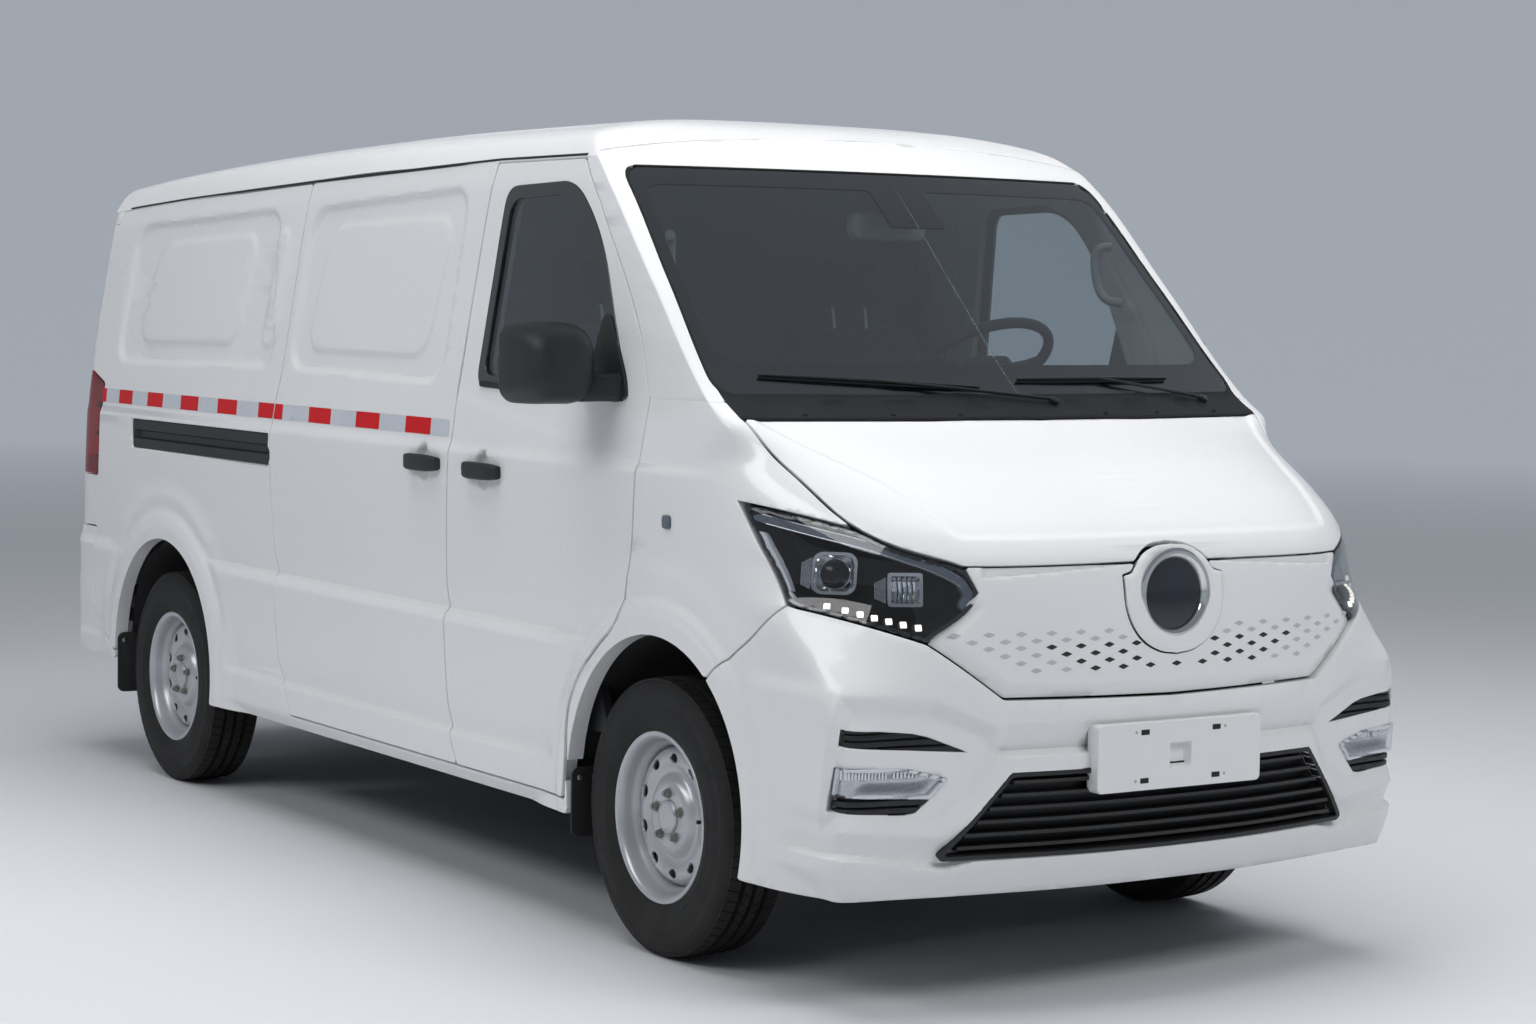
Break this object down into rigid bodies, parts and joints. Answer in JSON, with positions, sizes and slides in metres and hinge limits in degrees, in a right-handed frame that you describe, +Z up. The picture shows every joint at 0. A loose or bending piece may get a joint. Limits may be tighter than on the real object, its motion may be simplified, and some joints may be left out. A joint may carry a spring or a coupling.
{
  "type": "panel van",
  "caption": "Light electric panel van with a short sloping bonnet, closed front panel, hinged cab doors, closed sides with a sliding-door outline, lifting tailgate and steel wheels.",
  "frame": {"origin": "on the ground, midway between nose and tail and between the sides", "axes": "+X forward, +Y to the left, +Z up"},
  "size_m": [4.865, 2.1198, 2.0647],
  "materials": {
    "paint_white": "gloss white enamel over a smooth panel",
    "trim_black": "grained black moulding",
    "bumper_white": "painted plastic moulding",
    "glass_tinted": "grey tinted glass",
    "lens_clear": "clear lamp lens over a black bezel",
    "lens_red": "red lamp lens",
    "wheel_silver": "silver painted pressed steel",
    "tyre_rubber": "matt black rubber",
    "rubber_flap": "matt black sheet",
    "chassis_black": "black chassis paint",
    "running_steel": "machined and cast steel",
    "battery_case": "plain case",
    "cab_plastic": "dark grained cab moulding",
    "seat_cloth": "dark woven cloth"
  },
  "bodies": {
    "body": {"floor_pan": "paint_white", "chassis_rails": "chassis_black", "battery_pack": "battery_case", "side_wall_right": "paint_white", "side_wall_left": "paint_white", "sliding_door_right": "paint_white", "sliding_door_left": "paint_white", "slide_tracks": "trim_black", "slide_handles": "trim_black", "roof": "paint_white", "cab_frame": "paint_white", "front_fenders": "paint_white", "windscreen": "glass_tinted", "cowl_panel": "trim_black", "wipers": "trim_black", "grille_panel": "bumper_white", "front_badge": "bumper_white", "front_bumper": "bumper_white", "lower_grille": "trim_black", "plate_holder": "bumper_white", "headlamps": "lens_clear", "fog_lamps": "lens_clear", "rear_bumper": "bumper_white", "tail_lamps": "lens_red", "wheel_liners": "trim_black", "mudflaps": "rubber_flap", "front_cross_member": "chassis_black", "front_struts": "chassis_black", "rear_axle": "chassis_black", "dashboard": "cab_plastic", "seats": "seat_cloth", "bulkhead": "paint_white"},
    "hood": {"hood": "paint_white"},
    "tailgate": {"tailgate": "paint_white", "tailgate_glass": "glass_tinted"},
    "steering_wheel": {"steering_wheel": "cab_plastic"},
    "front_door_right": {"front_door_right": "paint_white", "door_glass_right": "glass_tinted", "mirror_right": "trim_black", "door_handle_right": "trim_black"},
    "knuckle_right": {"knuckle_right": "running_steel"},
    "wheel_front_right": {"rim_front_right": "wheel_silver", "tyre_front_right": "tyre_rubber"},
    "wheel_rear_right": {"rim_rear_right": "wheel_silver", "tyre_rear_right": "tyre_rubber"},
    "front_door_left": {"front_door_left": "paint_white", "door_glass_left": "glass_tinted", "mirror_left": "trim_black", "door_handle_left": "trim_black"},
    "knuckle_left": {"knuckle_left": "running_steel"},
    "wheel_front_left": {"rim_front_left": "wheel_silver", "tyre_front_left": "tyre_rubber"},
    "wheel_rear_left": {"rim_rear_left": "wheel_silver", "tyre_rear_left": "tyre_rubber"}
  },
  "joints": [
    {"name": "front_door_right_hinge", "type": "hinge", "parent": "body", "child": "front_door_right", "pos_m": [1.432, -0.852, 1.15], "axis": [0, 0, 1], "range_deg": [0, 65]},
    {"name": "front_door_left_hinge", "type": "hinge", "parent": "body", "child": "front_door_left", "pos_m": [1.432, 0.852, 1.15], "axis": [0, 0, -1], "range_deg": [0, 65]},
    {"name": "hood_hinge", "type": "hinge", "parent": "body", "child": "hood", "pos_m": [1.772, 0, 1.3], "axis": [0, -1, 0], "range_deg": [0, 50]},
    {"name": "tailgate_hinge", "type": "hinge", "parent": "body", "child": "tailgate", "pos_m": [-2.2046, 0, 1.82094], "axis": [0, 1, 0], "range_deg": [0, 85]},
    {"name": "steer_right", "type": "hinge", "parent": "body", "child": "knuckle_right", "pos_m": [1.4775, -0.69, 0.235], "axis": [0, 0.2361, 0.9717], "range_deg": [-35, 35]},
    {"name": "spin_front_right", "type": "hinge", "parent": "knuckle_right", "child": "wheel_front_right", "pos_m": [1.4775, -0.73, 0.337], "axis": [0, 1, 0], "continuous": true},
    {"name": "spin_rear_right", "type": "hinge", "parent": "body", "child": "wheel_rear_right", "pos_m": [-1.5725, -0.73, 0.337], "axis": [0, 1, 0], "continuous": true},
    {"name": "steer_left", "type": "hinge", "parent": "body", "child": "knuckle_left", "pos_m": [1.4775, 0.69, 0.235], "axis": [0, -0.2361, 0.9717], "range_deg": [-35, 35]},
    {"name": "spin_front_left", "type": "hinge", "parent": "knuckle_left", "child": "wheel_front_left", "pos_m": [1.4775, 0.73, 0.337], "axis": [0, 1, 0], "continuous": true},
    {"name": "spin_rear_left", "type": "hinge", "parent": "body", "child": "wheel_rear_left", "pos_m": [-1.5725, 0.73, 0.337], "axis": [0, 1, 0], "continuous": true},
    {"name": "steering_wheel_turn", "type": "hinge", "parent": "body", "child": "steering_wheel", "pos_m": [1.1786, 0.36873, 1.37942], "axis": [-0.5736, 0, 0.8192], "range_deg": [-525, 525]}
  ],
  "couplings": [
    {"joint": "steer_left", "follows": "steer_right", "ratio": 1},
    {"joint": "steering_wheel_turn", "follows": "steer_right", "ratio": 15}
  ]
}
